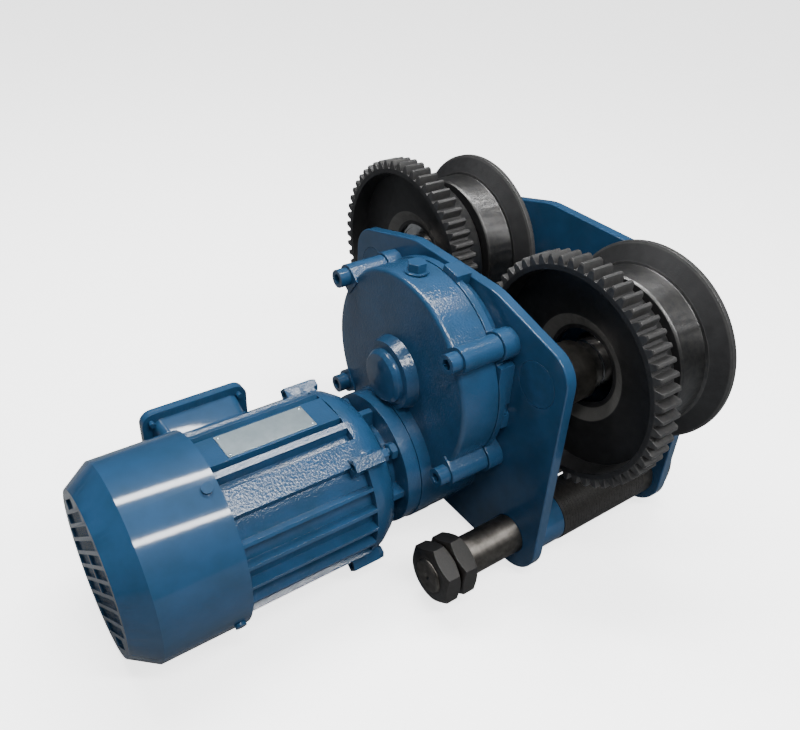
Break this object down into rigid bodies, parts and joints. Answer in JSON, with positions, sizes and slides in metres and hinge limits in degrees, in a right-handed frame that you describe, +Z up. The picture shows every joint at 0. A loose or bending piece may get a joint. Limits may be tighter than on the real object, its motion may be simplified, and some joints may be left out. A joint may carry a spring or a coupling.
{
  "type": "electric beam trolley",
  "caption": "Geared electric trolley for the lower flange of a steel beam: two side plates on cross rods, toothed drive wheels, plain idle wheels, a drum gearbox and a finned motor.",
  "frame": {"origin": "midway between the axles, on the centre plane of the beam, at the running surface of the treads", "axes": "+X along the beam, +Y across the beam towards the idle plate with the motor towards -Y, +Z up"},
  "size_m": [0.4084, 0.5079, 0.293],
  "materials": {
    "blue_enamel": "gloss",
    "black_cast": "satin",
    "machined_steel": "turned",
    "dark_steel": "blackened",
    "bearing_steel": "ground",
    "core_steel": "stacked sheets",
    "plate_metal": "satin",
    "winding_copper": "lacquered",
    "black_plastic": "matt",
    "seal_rubber": "matt",
    "gasket_paper": "matt"
  },
  "bodies": {
    "frame": {"adjusting_nuts": "dark_steel", "axle_circlips": "dark_steel", "bearing_cap": "blue_enamel", "cover_screws": "blue_enamel", "cross_rod_left": "machined_steel", "cross_rod_right": "machined_steel", "drive_axle_left": "machined_steel", "drive_axle_right": "machined_steel", "drive_side_plate": "blue_enamel", "end_shield_bolts": "blue_enamel", "fan_cover": "blue_enamel", "fan_cover_screws": "blue_enamel", "filler_plug": "blue_enamel", "flange_nuts": "blue_enamel", "flange_studs": "machined_steel", "gearbox_base": "blue_enamel", "gearbox_cover": "blue_enamel", "gearbox_gasket": "gasket_paper", "idle_axle_left": "machined_steel", "idle_axle_right": "machined_steel", "idle_side_plate": "blue_enamel", "lock_nuts": "dark_steel", "motor_frame": "blue_enamel", "motor_front_bearing": "bearing_steel", "motor_front_shield": "blue_enamel", "motor_rear_bearing": "bearing_steel", "motor_rear_shield": "blue_enamel", "name_plate": "plate_metal", "output_front_bearing": "bearing_steel", "output_rear_bearing": "bearing_steel", "output_shaft_seal": "seal_rubber", "rod_end_nuts": "dark_steel", "rod_end_washers": "dark_steel", "rod_sleeve_left": "blue_enamel", "rod_sleeve_right": "blue_enamel", "spacer_washers_left": "dark_steel", "spacer_washers_right": "dark_steel", "stator_core": "core_steel", "stator_windings": "winding_copper", "terminal_board": "black_plastic", "terminal_box": "blue_enamel", "terminal_box_lid": "blue_enamel", "terminal_box_screws": "blue_enamel"},
    "drive_wheel_left": {"drive_wheel_left": "black_cast", "drive_bearing_left": "bearing_steel"},
    "drive_wheel_right": {"drive_wheel_right": "black_cast", "drive_bearing_right": "bearing_steel"},
    "idle_wheel_left": {"idle_wheel_left": "black_cast", "idle_bearing_left": "bearing_steel"},
    "idle_wheel_right": {"idle_wheel_right": "black_cast", "idle_bearing_right": "bearing_steel"},
    "output_shaft": {"output_pinion_shaft": "machined_steel", "output_gear": "machined_steel", "output_gear_key": "machined_steel"},
    "motor_rotor": {"motor_shaft": "machined_steel", "rotor_core": "core_steel", "cooling_fan": "black_plastic"}
  },
  "joints": [
    {"name": "motor_spin", "type": "hinge", "parent": "frame", "child": "motor_rotor", "pos_m": [0, -0.25, -0.0518], "axis": [0, 1, 0], "continuous": true},
    {"name": "output_spin", "type": "hinge", "parent": "frame", "child": "output_shaft", "pos_m": [0, -0.1, 0.0322], "axis": [0, 1, 0], "continuous": true},
    {"name": "drive_wheel_left_spin", "type": "hinge", "parent": "frame", "child": "drive_wheel_left", "pos_m": [-0.11, -0.028, 0.067], "axis": [0, 1, 0], "continuous": true},
    {"name": "drive_wheel_right_spin", "type": "hinge", "parent": "frame", "child": "drive_wheel_right", "pos_m": [0.11, -0.028, 0.067], "axis": [0, 1, 0], "continuous": true},
    {"name": "idle_wheel_left_spin", "type": "hinge", "parent": "frame", "child": "idle_wheel_left", "pos_m": [-0.11, 0.025, 0.067], "axis": [0, 1, 0], "continuous": true},
    {"name": "idle_wheel_right_spin", "type": "hinge", "parent": "frame", "child": "idle_wheel_right", "pos_m": [0.11, 0.025, 0.067], "axis": [0, 1, 0], "continuous": true}
  ],
  "couplings": [
    {"joint": "output_spin", "follows": "motor_spin", "ratio": -0.2},
    {"joint": "drive_wheel_left_spin", "follows": "motor_spin", "ratio": 0.053571},
    {"joint": "drive_wheel_right_spin", "follows": "motor_spin", "ratio": 0.053571}
  ]
}
